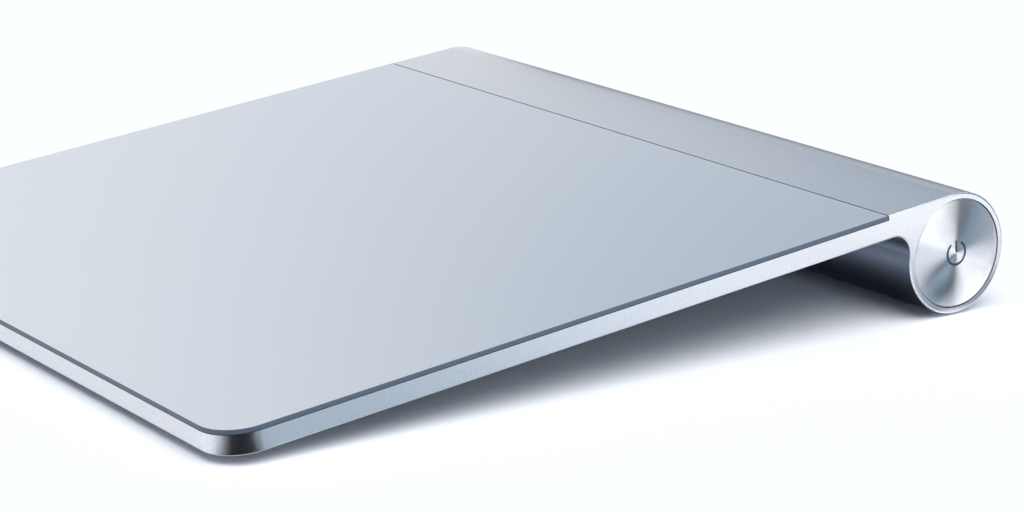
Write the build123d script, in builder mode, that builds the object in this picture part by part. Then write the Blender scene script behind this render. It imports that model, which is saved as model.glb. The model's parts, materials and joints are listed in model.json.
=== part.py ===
from build123d import *
import math
import os

# Wireless desk trackpad. Origin under the middle of the body on the table top, +X to the
# power button, +Y to the battery tube, +Z up. All sizes are in millimetres.

# Power cells and the tube that holds them end to end
cell_length = 50.5
cell_radius = 7.1
cell_nub_length = 1.0
cell_nub_radius = 2.75
cell_edge_chamfer = 0.4
cell_clearance = 0.35
liner_wall = 0.65
liner_fit = 0.05
tube_wall = 0.90
button_end_length = 18.5
door_end_length = 10.5

# Overall form of the housing
depth = 131.2
front_height = 4.69
rear_foot_stand = 0.30
front_corner_radius = 5.6
underside_fillet = 3.0
edge_rounding = 0.30
strip_length = 12.5
cut_margin = 1.0

# Stack of layers from the touch surface down to the underside
glass_thickness = 0.65
glass_bond_thickness = 0.10
glass_edge_rounding = 0.10
glass_bond_inset = 0.10
seam_gap = 0.15
sensor_thickness = 0.50
rib_gap = 0.20
rib_thickness = 0.65
board_thickness = 0.45
screw_head_height = 0.25
cover_clearance = 0.20
cover_thickness = 0.70
cover_bond_thickness = 0.10

# Pocket, cover rebate and cross ribs
rim_width = 3.2
ledge_width = 1.2
pocket_setback = 16.0
cover_fit = 0.10
cover_edge_chamfer = 0.12
rib_root = 0.5
hinge_rib_length = 3.5
board_rib_length = 5.0
rear_rib_length = 5.0
sensor_inset = 0.30
screw_radius = 0.60
screw_fit = 0.03
screw_head_radius = 1.0

# Logic board and what is soldered to it
board_width = 90.0
board_length = 46.0
board_rear_gap = 1.9
board_screw_edge = 1.5
board_screw_spacing = 41.0
board_corner_radius = 1.0
tab_length = 8.0
tab_margin = 1.0
wireless_module_size = (14.0, 10.0, 0.60)
wireless_module_place = (-30.0, 20.0)
wireless_module_rounding = 0.15
chip_size = (8.0, 8.0, 0.50)
chip_spacing = 16.0
chip_setback = 22.0
connector_length = 4.0
antenna_strip = 0.8
antenna_length = 12.0
antenna_leg = 4.0
antenna_thickness = 0.10
antenna_place = (-38.0, 36.0)

# Ribbon cables
ribbon_thickness = 0.10
sensor_flex_width = 12.0
sensor_flex_length = 12.0
sensor_flex_x = 26.0
click_flex_width = 4.0
click_flex_overlap = 8.0
power_flex_width = 4.0
power_flex_thickness = 0.15
power_flex_overlap = 4.0
power_flex_drop = 2.3
power_flex_slope = 0.8
flex_slot_gap = 0.5
flex_slot_height = 0.65
flex_notch_height = 1.30

# Click lever with its hinge
hinge_setback = 31.5
hinge_rib_gap = 2.5
bracket_spacing = 80.0
bracket_length = 16.0
bracket_thickness = 0.30
bracket_screw_offset = 6.2
ear_radius = 0.65
ear_width = 0.8
ear_gap = 0.3
ear_rib_gap = 0.3
knuckle_length = 6.0
knuckle_radius = 0.60
pin_radius = 0.30
pin_clearance = 0.05
pin_press = 0.01
lever_thickness = 0.40
lever_stop_gap = 0.15
lever_side_gap = 2.8
lever_front_gap = 3.3
lever_ear_gap = 0.45
lever_corner_radius = 3.0
window_length = 36.0
window_width = 11.0
window_offset = 26.5
window_corner_radius = 2.0
tongue_root = 1.0

# Click switch under the sensing board
switch_setback = 20.0
click_board_size = (8.0, 6.0, 0.30)
click_body_width = 5.0
click_body_height = 0.50
click_body_floor = 0.10
click_plunger_radius = 0.70
click_plunger_clearance = 0.20
click_plunger_engagement = 0.10

# Front feet on the lever and rear feet under the tube
foot_inset = 11.0
boss_radius = 4.2
boss_stand = 1.0
boss_clearance = 0.30
stud_radius = 1.2
stud_fit = 0.05
stake_radius = 2.0
stake_height = 0.20
pad_radius = 3.7
pad_taper = 6.0
rear_foot_length = 26.0
rear_foot_width = 3.2
rear_foot_recess = 0.45
rear_foot_inset = 20.0
rear_foot_fit = 0.05

# Caps at the two ends of the tube
end_recess = 0.10
end_gap = 0.12
cap_thickness = 1.2
cap_edge_chamfer = 0.06

# Battery door with its contact and spring
coin_radius = 14.0
coin_slot_width = 1.8
coin_slot_depth = 0.85
thread_length = 2.2
thread_fit = 0.05
thread_ring_wall = 0.33
thread_ring_fit = 0.02
gasket_thickness = 0.12
gasket_seat_gap = 0.03
gasket_inner_gap = 0.02
gasket_edge_inset = 0.05
skirt_wall = 1.1
skirt_extra = 0.2
cup_gap = 0.20
cup_end_gap = 0.10
cup_wall = 0.50
cup_depth = 2.6
spring_wire_radius = 0.35
spring_turns = 3
spring_wire_sides = 8
spring_tip_radius = 2.8
spring_side_gap = 0.25
spring_cell_gap = 0.10

# Power button and what it presses
button_gap = 1.05
web_thickness = 2.0
carrier_fit = 0.05
carrier_wall = 1.05
carrier_length = 12.5
leg_count = 3
leg_mid_radius = 5.5
leg_thickness = 1.0
leg_width = 2.2
leg_slot_gap = 0.20
barb_height = 0.7
barb_length = 0.55
barb_gap = 0.05
button_boss_radius = 1.4
boss_hole_gap = 0.3
post_radius = 0.8
switch_post_height = 1.7
power_board_thickness = 0.80
power_board_gap = 0.10
power_body_width = 3.6
power_body_height = 1.4
power_plunger_radius = 0.80
power_plunger_clearance = 0.10
power_plunger_engagement = 0.30
power_plunger_hole = 0.90
power_plunger_length = 1.0

# Positive contact at the inner end of the cells
contact_gap = 0.10
contact_plate_radius = 3.2
contact_plate_thickness = 0.40
contact_stud_radius = 1.5
contact_stud_fit = 0.05
contact_stud_extra = 0.5
contact_carrier_thickness = 2.0
liner_end_gap = 0.5
lead_width = 2.0
lead_thickness = 0.20

# Sizes of the body that follow from the cells
bore_radius = cell_radius + cell_clearance + liner_wall + liner_fit
tube_radius = bore_radius + tube_wall
width = 2 * cell_length + button_end_length + door_end_length
right_end = width / 2
left_end = -width / 2
tube_y = depth / 2 - tube_radius
tube_z = rear_foot_stand + tube_radius

# The touch surface runs from the front edge up to its tangent line on the tube
reach = depth / 2 + tube_y
drop = front_height - tube_z
incline = math.asin(tube_radius / math.hypot(reach, drop)) - math.atan2(drop, reach)
plate_length = math.sqrt(reach**2 + drop**2 - tube_radius**2)
surface_normal = (0, -math.sin(incline), math.cos(incline))

# Plane of the touch surface, with its origin in the middle of the front edge
plate = Plane(origin=(0, -depth / 2, front_height), x_dir=(1, 0, 0), z_dir=surface_normal)
plate_axis = Axis(plate.origin, plate.z_dir)
# Section plane square to X, with the run from the front edge and the height over the surface
side = Plane(origin=plate.origin, x_dir=plate.y_dir, z_dir=(1, 0, 0))
# Section plane of the tube, with its origin on the tube's axis
tube = Plane(origin=(0, tube_y, tube_z), x_dir=(0, 1, 0), z_dir=(1, 0, 0))

# Levels of the layers, measured along the surface's normal
level_glass_under = -glass_thickness
level_bed = level_glass_under - glass_bond_thickness
level_sensor_under = level_glass_under - sensor_thickness
level_rib_top = level_sensor_under - rib_gap
level_rib_under = level_rib_top - rib_thickness
level_board_under = level_rib_under - board_thickness
level_cover_inner = level_board_under - screw_head_height - cover_clearance
level_underside = level_cover_inner - cover_thickness
level_ledge = level_cover_inner + cover_bond_thickness
level_lever_under = level_cover_inner + lever_stop_gap
level_lever_top = level_lever_under + lever_thickness
level_hinge = level_lever_under + knuckle_radius
level_click_board_under = level_sensor_under - click_board_size[2]
level_click_body_under = level_click_board_under - click_body_height
level_foot = level_underside - boss_stand

# Places along the plate, measured from its front edge
seam_run = plate_length - strip_length
glass_length = seam_run - seam_gap
pocket_width = width - 2 * rim_width
pocket_rear = plate_length - pocket_setback
pocket_length = pocket_rear - rim_width
pocket_corner_radius = front_corner_radius - rim_width
rebate_inset = rim_width - ledge_width
rebate_width = width - 2 * rebate_inset
rebate_length = pocket_rear + ledge_width - rebate_inset
rebate_corner_radius = front_corner_radius - rebate_inset
board_rear = pocket_rear - board_rear_gap
board_front = board_rear - board_length
board_rib_front = board_front + board_screw_edge - board_rib_length / 2
hinge_rib_front = hinge_setback + hinge_rib_gap
bracket_front = hinge_rib_front - ear_rib_gap - ear_radius
bracket_screw_run = hinge_rib_front + hinge_rib_length / 2
lever_width = pocket_width - 2 * lever_side_gap
lever_front = rim_width + lever_front_gap
lever_rear = hinge_setback - ear_radius - lever_ear_gap
foot_x = width / 2 - foot_inset

# Places along the tube, measured along X
button_face = right_end - end_recess
button_back = button_face - cap_thickness
web_front = button_back - button_gap
web_back = web_front - web_thickness
carrier_back = web_front - carrier_length
power_board_front = web_back - switch_post_height
power_board_back = power_board_front - power_board_thickness
power_body_front = power_board_front + power_body_height
plunger_end = power_body_front - power_plunger_engagement
cells_end = right_end - button_end_length
cells_start = cells_end - 2 * cell_length
door_face = left_end + end_recess
door_back = door_face + cap_thickness
cup_back = door_back + cup_end_gap
cup_floor = cup_back + cup_wall
flex_right = power_board_back
flex_left = flex_right - power_flex_width

# Radii round the tube's axis
cap_radius = bore_radius - end_gap
thread_ring_outer = bore_radius - thread_ring_fit
thread_ring_inner = thread_ring_outer - thread_ring_wall
skirt_radius = thread_ring_inner - thread_fit
skirt_bore = skirt_radius - skirt_wall
cup_radius = skirt_bore - cup_gap
liner_radius = bore_radius - liner_fit
carrier_radius = bore_radius - carrier_fit
carrier_bore = carrier_radius - carrier_wall

bracket_centres = (-bracket_spacing / 2, bracket_spacing / 2)
board_screw_xs = (-board_screw_spacing, 0, board_screw_spacing)
board_screw_runs = (board_front + board_screw_edge, board_rear - board_screw_edge)
board_screw_places = [(x, run) for x in board_screw_xs for run in board_screw_runs]
bracket_screw_places = [
    (centre + offset, bracket_screw_run)
    for centre in bracket_centres
    for offset in (-bracket_screw_offset, bracket_screw_offset)
]
rib_spans = (
    (hinge_rib_front, hinge_rib_length),
    (board_rib_front, board_rib_length),
    (pocket_rear - rear_rib_length, rear_rib_length + rib_root),
)
from_front = (Align.CENTER, Align.MIN)

os.makedirs("parts", exist_ok=True)

# Housing: the plate's section ends in the tube, with a concave fillet under the joint
fillet_run = plate_length - math.sqrt(
    (tube_radius + underside_fillet) ** 2
    - (tube_radius + level_underside - underside_fillet) ** 2
)
fillet_share = tube_radius / (tube_radius + underside_fillet)
underside_tangent = (fillet_run, level_underside)
tube_tangent = (
    plate_length + (fillet_run - plate_length) * fillet_share,
    -tube_radius + (level_underside - underside_fillet + tube_radius) * fillet_share,
)
with BuildPart() as housing:
    with BuildSketch(side.offset(left_end)):
        with BuildLine():
            Line((0, 0), (plate_length, 0))
            ThreePointArc(
                (plate_length, 0),
                (plate_length + tube_radius, -tube_radius),
                tube_tangent,
            )
            TangentArc(underside_tangent, tube_tangent, tangent=(1, 0))
            Line(underside_tangent, (0, level_underside))
            Line((0, level_underside), (0, 0))
        make_face()
    extrude(amount=width)
    fillet(housing.edges().filter_by(plate_axis), front_corner_radius)
    end_edges = housing.faces().filter_by(Axis.X).edges().filter_by(plate_axis, reverse=True)
    corner_edges = housing.edges().filter_by(GeomType.CIRCLE)
    corner_edges = corner_edges.filter_by(lambda arc: abs(arc.center().X) < right_end)
    front_edges = housing.faces().sort_by(Axis.Y)[0].edges().filter_by(Axis.X)
    fillet(end_edges + corner_edges + front_edges, edge_rounding)
    # Bed for the glass, open to the front and the sides
    with BuildSketch(plate):
        with Locations((0, -cut_margin)):
            Rectangle(width + 2 * cut_margin, seam_run + cut_margin, align=from_front)
    extrude(amount=level_bed, mode=Mode.SUBTRACT)
    # Pocket for the electronics, and the rebate for the cover
    with BuildSketch(plate):
        with Locations((0, rim_width)):
            RectangleRounded(pocket_width, pocket_length, pocket_corner_radius, align=from_front)
    extrude(amount=level_underside - cut_margin, mode=Mode.SUBTRACT)
    with BuildSketch(plate.offset(level_ledge)):
        with Locations((0, rebate_inset)):
            RectangleRounded(rebate_width, rebate_length, rebate_corner_radius, align=from_front)
    extrude(amount=level_underside - level_ledge - cut_margin, mode=Mode.SUBTRACT)
    # Cross ribs with tapped holes
    with BuildSketch(plate.offset(level_rib_top)):
        for rib_front, rib_length in rib_spans:
            with Locations((0, rib_front)):
                Rectangle(pocket_width + 2 * rib_root, rib_length, align=from_front)
        with Locations(*board_screw_places, *bracket_screw_places):
            Circle(screw_radius, mode=Mode.SUBTRACT)
    extrude(amount=-rib_thickness)
    # Bore of the tube, and the slot that lets the power ribbon into the pocket
    with BuildSketch(tube.offset(left_end)):
        Circle(bore_radius)
    extrude(amount=width, mode=Mode.SUBTRACT)
    with BuildSketch(side.offset(flex_left - flex_slot_gap)):
        with Locations((pocket_rear - cut_margin, level_board_under)):
            Rectangle(
                pocket_setback + cut_margin,
                flex_slot_height,
                align=(Align.MIN, Align.CENTER),
            )
    extrude(amount=power_flex_width + 2 * flex_slot_gap, mode=Mode.SUBTRACT)
    # Recesses for the rear feet
    with BuildSketch(Plane.XY):
        with Locations(*[(sign * (right_end - rear_foot_inset), tube_y) for sign in (-1, 1)]):
            SlotOverall(rear_foot_length, rear_foot_width)
    extrude(amount=rear_foot_stand + rear_foot_recess, mode=Mode.SUBTRACT)
housing.part.label = "housing"
export_step(housing.part, "parts/housing.step")


def front_outline(length, inset):
    """Plan of the plate from its front edge, with rounded front corners, drawn in by inset."""
    with BuildSketch() as outline:
        with Locations((0, inset)):
            Rectangle(width - 2 * inset, length - 2 * inset, align=from_front)
        fillet(outline.vertices().group_by(Axis.Y)[0], front_corner_radius - inset)
    return outline.sketch


# Glass plate and the tape frame that bonds it to the rim
glass_outline = front_outline(glass_length, 0)
tape_outline = front_outline(glass_length, glass_bond_inset)

with BuildPart() as glass_plate:
    with BuildSketch(plate.offset(level_glass_under)):
        add(glass_outline)
    extrude(amount=glass_thickness)
    fillet(glass_plate.faces().sort_by(plate_axis)[-1].edges(), glass_edge_rounding)
glass_plate.part.label = "glass_plate"
export_step(glass_plate.part, "parts/glass_plate.step")

with BuildPart() as glass_bond_tape:
    with BuildSketch(plate.offset(level_bed)):
        add(tape_outline)
        with Locations((0, rim_width)):
            RectangleRounded(
                pocket_width,
                pocket_length,
                pocket_corner_radius,
                align=from_front,
                mode=Mode.SUBTRACT,
            )
    extrude(amount=glass_bond_thickness)
glass_bond_tape.part.label = "glass_bond_tape"
export_step(glass_bond_tape.part, "parts/glass_bond_tape.step")

# Sensing board, bonded to the back of the glass inside the pocket
with BuildPart() as touch_sensor_board:
    with BuildSketch(plate.offset(level_glass_under)):
        with Locations((0, rim_width + sensor_inset)):
            RectangleRounded(
                pocket_width - 2 * sensor_inset,
                pocket_length - 2 * sensor_inset,
                pocket_corner_radius - sensor_inset,
                align=from_front,
            )
    extrude(amount=-sensor_thickness)
touch_sensor_board.part.label = "touch_sensor_board"
export_step(touch_sensor_board.part, "parts/touch_sensor_board.step")

# Bottom cover with a round hole for each front foot, and its bond tape
with BuildPart() as bottom_cover:
    with BuildSketch(plate.offset(level_underside)):
        with Locations((0, rebate_inset + cover_fit)):
            RectangleRounded(
                rebate_width - 2 * cover_fit,
                rebate_length - 2 * cover_fit,
                rebate_corner_radius - cover_fit,
                align=from_front,
            )
        with Locations((-foot_x, foot_inset), (foot_x, foot_inset)):
            Circle(boss_radius + boss_clearance, mode=Mode.SUBTRACT)
    extrude(amount=cover_thickness)
    chamfer(bottom_cover.faces().sort_by(plate_axis)[0].edges(), cover_edge_chamfer)
bottom_cover.part.label = "bottom_cover"
export_step(bottom_cover.part, "parts/bottom_cover.step")

with BuildPart() as cover_bond_tape:
    with BuildSketch(plate.offset(level_cover_inner)):
        with Locations((0, rebate_inset + cover_fit)):
            RectangleRounded(
                rebate_width - 2 * cover_fit,
                rebate_length - 2 * cover_fit,
                rebate_corner_radius - cover_fit,
                align=from_front,
            )
        with Locations((0, rim_width)):
            RectangleRounded(
                pocket_width,
                pocket_length,
                pocket_corner_radius,
                align=from_front,
                mode=Mode.SUBTRACT,
            )
    extrude(amount=cover_bond_thickness)
cover_bond_tape.part.label = "cover_bond_tape"
export_step(cover_bond_tape.part, "parts/cover_bond_tape.step")

# Logic board under the board rib and the rear rib, with a tab for the power ribbon
with BuildPart() as logic_board:
    with BuildSketch(plate.offset(level_board_under)) as board_plan:
        with Locations((0, board_front)):
            Rectangle(board_width, board_length, align=from_front)
        with Locations((0, board_rear)):
            Rectangle(flex_right + tab_margin, tab_length, align=(Align.MIN, Align.MAX))
        fillet(board_plan.vertices(), board_corner_radius)
        with Locations(*board_screw_places):
            Circle(screw_radius + screw_fit, mode=Mode.SUBTRACT)
    extrude(amount=board_thickness)
logic_board.part.label = "logic_board"
export_step(logic_board.part, "parts/logic_board.step")

with BuildPart() as wireless_module:
    with BuildSketch(plate.offset(level_rib_under)):
        with Locations((wireless_module_place[0], board_front + wireless_module_place[1])):
            Rectangle(wireless_module_size[0], wireless_module_size[1])
    extrude(amount=wireless_module_size[2])
    fillet(wireless_module.faces().sort_by(plate_axis)[-1].edges(), wireless_module_rounding)
wireless_module.part.label = "wireless_module"
export_step(wireless_module.part, "parts/wireless_module.step")

with BuildPart() as touch_controller_chips:
    with BuildSketch(plate.offset(level_rib_under)):
        with Locations((0, board_front + chip_setback), (chip_spacing, board_front + chip_setback)):
            Rectangle(chip_size[0], chip_size[1])
    extrude(amount=chip_size[2])
touch_controller_chips.part.label = "touch_controller_chips"
export_step(touch_controller_chips.part, "parts/touch_controller_chips.step")

with BuildPart() as antenna:
    with BuildSketch(plate.offset(level_rib_under)):
        with Locations((antenna_place[0], board_front + antenna_place[1])):
            Rectangle(antenna_length, antenna_strip)
            Rectangle(antenna_strip, antenna_leg, align=(Align.CENTER, Align.MAX))
    extrude(amount=antenna_thickness)
antenna.part.label = "antenna"
export_step(antenna.part, "parts/antenna.step")

# Ribbons lie flat on the back of the sensing board and end over a connector each
ribbon_end_run = board_rib_front + board_rib_length + click_flex_overlap
level_ribbon_under = level_sensor_under - ribbon_thickness
click_board_rear = switch_setback + click_board_size[1] / 2
with BuildPart() as sensor_flex:
    with BuildSketch(plate.offset(level_ribbon_under)):
        with Locations((sensor_flex_x, ribbon_end_run)):
            Rectangle(sensor_flex_width, sensor_flex_length, align=(Align.CENTER, Align.MAX))
    extrude(amount=ribbon_thickness)
sensor_flex.part.label = "sensor_flex"
export_step(sensor_flex.part, "parts/sensor_flex.step")

with BuildPart() as click_switch_flex:
    with BuildSketch(plate.offset(level_ribbon_under)):
        with Locations((0, click_board_rear)):
            Rectangle(click_flex_width, ribbon_end_run - click_board_rear, align=from_front)
    extrude(amount=ribbon_thickness)
click_switch_flex.part.label = "click_switch_flex"
export_step(click_switch_flex.part, "parts/click_switch_flex.step")

with BuildPart() as board_connectors:
    with BuildSketch(plate.offset(level_rib_under)):
        with Locations((sensor_flex_x, ribbon_end_run)):
            Rectangle(sensor_flex_width, connector_length, align=(Align.CENTER, Align.MAX))
        with Locations((0, ribbon_end_run)):
            Rectangle(click_flex_width, connector_length, align=(Align.CENTER, Align.MAX))
    extrude(amount=level_ribbon_under - level_rib_under)
board_connectors.part.label = "board_connectors"
export_step(board_connectors.part, "parts/board_connectors.step")

with BuildPart() as board_screws:
    with BuildSketch(plate.offset(level_board_under)):
        with Locations(*board_screw_places):
            Circle(screw_head_radius)
    extrude(amount=-screw_head_height)
    with BuildSketch(plate.offset(level_board_under)):
        with Locations(*board_screw_places):
            Circle(screw_radius - screw_fit)
    extrude(amount=board_thickness + rib_thickness)
board_screws.part.label = "board_screws"
export_step(board_screws.part, "parts/board_screws.step")

# Hinge brackets under the hinge rib: a base plate and two ears each, bored for the pin
ear_offset = knuckle_length / 2 + ear_gap
bracket_depth = hinge_rib_front + hinge_rib_length - bracket_front
for end_name, centre in zip(("left", "right"), bracket_centres):
    with BuildPart() as hinge_bracket:
        with BuildSketch(plate.offset(level_rib_under)):
            with Locations((centre, bracket_front)):
                Rectangle(bracket_length, bracket_depth, align=from_front)
            with Locations(
                (centre - bracket_screw_offset, bracket_screw_run),
                (centre + bracket_screw_offset, bracket_screw_run),
            ):
                Circle(screw_radius + screw_fit, mode=Mode.SUBTRACT)
        extrude(amount=-bracket_thickness)
        for ear_start in (centre - ear_offset - ear_width, centre + ear_offset):
            with BuildSketch(side.offset(ear_start)):
                with Locations((hinge_setback, level_hinge)):
                    Circle(ear_radius)
                    Rectangle(
                        hinge_rib_gap - ear_rib_gap,
                        2 * knuckle_radius,
                        align=(Align.MIN, Align.CENTER),
                    )
                    Circle(pin_radius + pin_press, mode=Mode.SUBTRACT)
            extrude(amount=ear_width)
    hinge_bracket.part.label = f"hinge_bracket_{end_name}"
    export_step(hinge_bracket.part, f"parts/hinge_bracket_{end_name}.step")

pin_length = knuckle_length + 2 * (ear_gap + ear_width)
with BuildPart() as hinge_pins:
    for centre in bracket_centres:
        with BuildSketch(side.offset(centre - pin_length / 2)):
            with Locations((hinge_setback, level_hinge)):
                Circle(pin_radius)
        extrude(amount=pin_length)
hinge_pins.part.label = "hinge_pins"
export_step(hinge_pins.part, "parts/hinge_pins.step")

level_bracket_under = level_rib_under - bracket_thickness
with BuildPart() as hinge_screws:
    with BuildSketch(plate.offset(level_bracket_under)):
        with Locations(*bracket_screw_places):
            Circle(screw_head_radius)
    extrude(amount=-screw_head_height)
    with BuildSketch(plate.offset(level_bracket_under)):
        with Locations(*bracket_screw_places):
            Circle(screw_radius - screw_fit)
    extrude(amount=bracket_thickness + rib_thickness)
hinge_screws.part.label = "hinge_screws"
export_step(hinge_screws.part, "parts/hinge_screws.step")

# Click lever: a pressed plate with windows, a tongue and a rolled knuckle at each bracket
with BuildPart() as click_lever:
    with BuildSketch(plate.offset(level_lever_under)):
        with Locations((0, lever_front)):
            RectangleRounded(
                lever_width,
                lever_rear - lever_front,
                lever_corner_radius,
                align=from_front,
            )
        with Locations((-window_offset, switch_setback), (window_offset, switch_setback)):
            RectangleRounded(
                window_length,
                window_width,
                window_corner_radius,
                mode=Mode.SUBTRACT,
            )
        for centre in bracket_centres:
            with Locations((centre, hinge_setback)):
                Rectangle(
                    knuckle_length,
                    hinge_setback - lever_rear + tongue_root,
                    align=(Align.CENTER, Align.MAX),
                )
        with Locations((-foot_x, foot_inset), (foot_x, foot_inset)):
            Circle(stud_radius + stud_fit, mode=Mode.SUBTRACT)
    extrude(amount=lever_thickness)
    for centre in bracket_centres:
        with BuildSketch(side.offset(centre - knuckle_length / 2)):
            with Locations((hinge_setback, level_hinge)):
                Circle(knuckle_radius)
        extrude(amount=knuckle_length)
    for centre in bracket_centres:
        with BuildSketch(side.offset(centre - knuckle_length / 2)):
            with Locations((hinge_setback, level_hinge)):
                Circle(pin_radius + pin_clearance)
        extrude(amount=knuckle_length, mode=Mode.SUBTRACT)
click_lever.part.label = "click_lever"
export_step(click_lever.part, "parts/click_lever.step")

# Click switch: a small board on the sensing board, the body, and the plunger on the lever
with BuildPart() as click_switch_board:
    with BuildSketch(plate.offset(level_click_board_under)):
        with Locations((0, switch_setback)):
            Rectangle(click_board_size[0], click_board_size[1])
    extrude(amount=click_board_size[2])
click_switch_board.part.label = "click_switch_board"
export_step(click_switch_board.part, "parts/click_switch_board.step")

with BuildPart() as click_switch_body:
    with BuildSketch(plate.offset(level_click_body_under)):
        with Locations((0, switch_setback)):
            Rectangle(click_body_width, click_body_width)
    extrude(amount=click_body_height)
    with BuildSketch(plate.offset(level_click_body_under)):
        with Locations((0, switch_setback)):
            Circle(click_plunger_radius + click_plunger_clearance)
    extrude(amount=click_body_height - click_body_floor, mode=Mode.SUBTRACT)
click_switch_body.part.label = "click_switch_body"
export_step(click_switch_body.part, "parts/click_switch_body.step")

with BuildPart() as click_switch_plunger:
    with BuildSketch(plate.offset(level_lever_top)):
        with Locations((0, switch_setback)):
            Circle(click_plunger_radius)
    extrude(amount=level_click_body_under - level_lever_top + click_plunger_engagement)
click_switch_plunger.part.label = "click_switch_plunger"
export_step(click_switch_plunger.part, "parts/click_switch_plunger.step")

# Front feet: a moulded boss staked through the lever and a rubber pad cut level with the table
pad_start_height = front_height + foot_inset * math.sin(incline) + level_foot * math.cos(incline)
pad_length = pad_start_height / math.cos(incline) + pad_radius * math.tan(incline) + cut_margin
for end_name, centre in (("left", -foot_x), ("right", foot_x)):
    with BuildPart() as foot_boss:
        with BuildSketch(plate.offset(level_foot)):
            with Locations((centre, foot_inset)):
                Circle(boss_radius)
        extrude(amount=level_lever_under - level_foot)
        with BuildSketch(plate.offset(level_lever_under)):
            with Locations((centre, foot_inset)):
                Circle(stud_radius)
        extrude(amount=lever_thickness)
        with BuildSketch(plate.offset(level_lever_top)):
            with Locations((centre, foot_inset)):
                Circle(stake_radius)
        extrude(amount=stake_height)
    foot_boss.part.label = f"foot_boss_{end_name}"
    export_step(foot_boss.part, f"parts/foot_boss_{end_name}.step")

    with BuildPart() as foot_pad:
        with BuildSketch(plate.offset(level_foot)):
            with Locations((centre, foot_inset)):
                Circle(pad_radius)
        extrude(amount=-pad_length, taper=pad_taper)
        split(bisect_by=Plane.XY, keep=Keep.TOP)
    foot_pad.part.label = f"foot_pad_{end_name}"
    export_step(foot_pad.part, f"parts/foot_pad_{end_name}.step")

# Rear feet: rubber strips in the recesses under the tube
for end_name, sign in (("left", -1), ("right", 1)):
    with BuildPart() as rear_foot:
        with BuildSketch(Plane.XY):
            with Locations((sign * (right_end - rear_foot_inset), tube_y)):
                SlotOverall(rear_foot_length - 2 * rear_foot_fit, rear_foot_width - 2 * rear_foot_fit)
        extrude(amount=rear_foot_stand + rear_foot_recess)
    rear_foot.part.label = f"rear_foot_{end_name}"
    export_step(rear_foot.part, f"parts/rear_foot_{end_name}.step")

# Liner sleeve and the two cells, positive ends to the right
with BuildPart() as battery_liner:
    with BuildSketch(tube.offset(cells_start - liner_end_gap)):
        Circle(liner_radius)
        Circle(liner_radius - liner_wall, mode=Mode.SUBTRACT)
    extrude(amount=2 * cell_length)
battery_liner.part.label = "battery_liner"
export_step(battery_liner.part, "parts/battery_liner.step")

for end_name, start in (("left", cells_start), ("right", cells_start + cell_length)):
    with BuildPart() as battery_cell:
        with BuildSketch(tube.offset(start)):
            Circle(cell_radius)
        extrude(amount=cell_length - cell_nub_length)
        chamfer(battery_cell.edges().filter_by(GeomType.CIRCLE), cell_edge_chamfer)
        with BuildSketch(tube.offset(start + cell_length - cell_nub_length)):
            Circle(cell_nub_radius)
        extrude(amount=cell_nub_length)
    battery_cell.part.label = f"battery_cell_{end_name}"
    export_step(battery_cell.part, f"parts/battery_cell_{end_name}.step")

# Battery door at the left end: thread ring in the bore, and the cap with its skirt and gasket
ring_start = door_back + gasket_thickness + gasket_seat_gap
with BuildPart() as door_thread_ring:
    with BuildSketch(tube.offset(ring_start)):
        Circle(thread_ring_outer)
        Circle(thread_ring_inner, mode=Mode.SUBTRACT)
    extrude(amount=thread_length)
door_thread_ring.part.label = "door_thread_ring"
export_step(door_thread_ring.part, "parts/door_thread_ring.step")

with BuildPart() as battery_door:
    with BuildSketch(tube.offset(door_face)):
        Circle(cap_radius)
    extrude(amount=cap_thickness)
    chamfer(battery_door.faces().sort_by(Axis.X)[0].edges(), cap_edge_chamfer)
    with BuildSketch(tube.offset(door_back)):
        Circle(skirt_radius)
        Circle(skirt_bore, mode=Mode.SUBTRACT)
    extrude(amount=thread_length + skirt_extra)
    # The slot has the round bottom that a coin's rim fits
    with BuildSketch(Plane.XY.offset(tube_z)):
        with Locations((door_face - coin_radius + coin_slot_depth, tube_y)):
            Circle(coin_radius)
    extrude(amount=coin_slot_width / 2, both=True, mode=Mode.SUBTRACT)
battery_door.part.label = "battery_door"
export_step(battery_door.part, "parts/battery_door.step")

with BuildPart() as door_gasket:
    with BuildSketch(tube.offset(door_back)):
        Circle(cap_radius - gasket_edge_inset)
        Circle(skirt_radius + gasket_inner_gap, mode=Mode.SUBTRACT)
    extrude(amount=gasket_thickness)
door_gasket.part.label = "door_gasket"
export_step(door_gasket.part, "parts/door_gasket.step")

# Negative contact: a cup inside the skirt, and a cone spring up to the cell's flat end
with BuildPart() as contact_cup:
    with BuildSketch(tube.offset(cup_back)):
        Circle(cup_radius)
    extrude(amount=cup_depth)
    with BuildSketch(tube.offset(cup_floor)):
        Circle(cup_radius - cup_wall)
    extrude(amount=cup_depth - cup_wall, mode=Mode.SUBTRACT)
contact_cup.part.label = "contact_cup"
export_step(contact_cup.part, "parts/contact_cup.step")

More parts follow.
